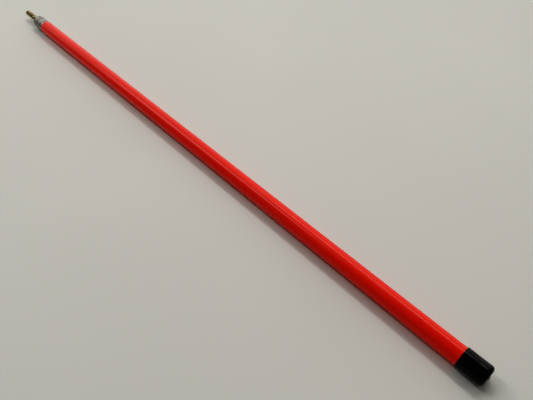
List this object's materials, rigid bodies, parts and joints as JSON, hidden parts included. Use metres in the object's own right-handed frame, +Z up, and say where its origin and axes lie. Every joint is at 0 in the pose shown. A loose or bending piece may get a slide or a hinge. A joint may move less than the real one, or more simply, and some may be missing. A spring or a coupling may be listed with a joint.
{
  "type": "alignment stick",
  "caption": "Bright round plastic marker stick over a flexible wire-rope core, with a black push-on end cap and a bolt-on threaded stud.",
  "frame": {"origin": "on the stick's axis at the collar's front face, the face that seats on a bracket", "axes": "+X along the stick from the collar to the end cap, the stud points along -X, +Z up with the stick lying level"},
  "size_m": [0.9944, 0.0242, 0.0242],
  "materials": {
    "tube_plastic": "satin extruded fluorescent red-orange",
    "black_vinyl": "glossy dip-moulded vinyl",
    "galvanised_steel": "dull hot-dip galvanised, mottled",
    "yellow_zinc_steel": "bright yellow-passivated zinc plate",
    "rope_steel": "drawn wire",
    "aluminium_sleeve": "pressed",
    "spacer_plastic": "natural moulded"
  },
  "bodies": {
    "stick": {"guide_tube": "tube_plastic", "end_collar": "galvanised_steel", "threaded_stud": "yellow_zinc_steel", "rope_centre_strand": "rope_steel", "rope_strand_1": "rope_steel", "rope_strand_2": "rope_steel", "rope_strand_3": "rope_steel", "rope_strand_4": "rope_steel", "rope_strand_5": "rope_steel", "rope_strand_6": "rope_steel", "rope_sleeve": "aluminium_sleeve", "rope_spacer": "spacer_plastic"},
    "cap": {"end_cap": "black_vinyl"}
  },
  "joints": [
    {"name": "cap_pull", "type": "slide", "parent": "stick", "child": "cap", "axis": [1, 0, 0], "range_m": [0, 0.045]}
  ]
}
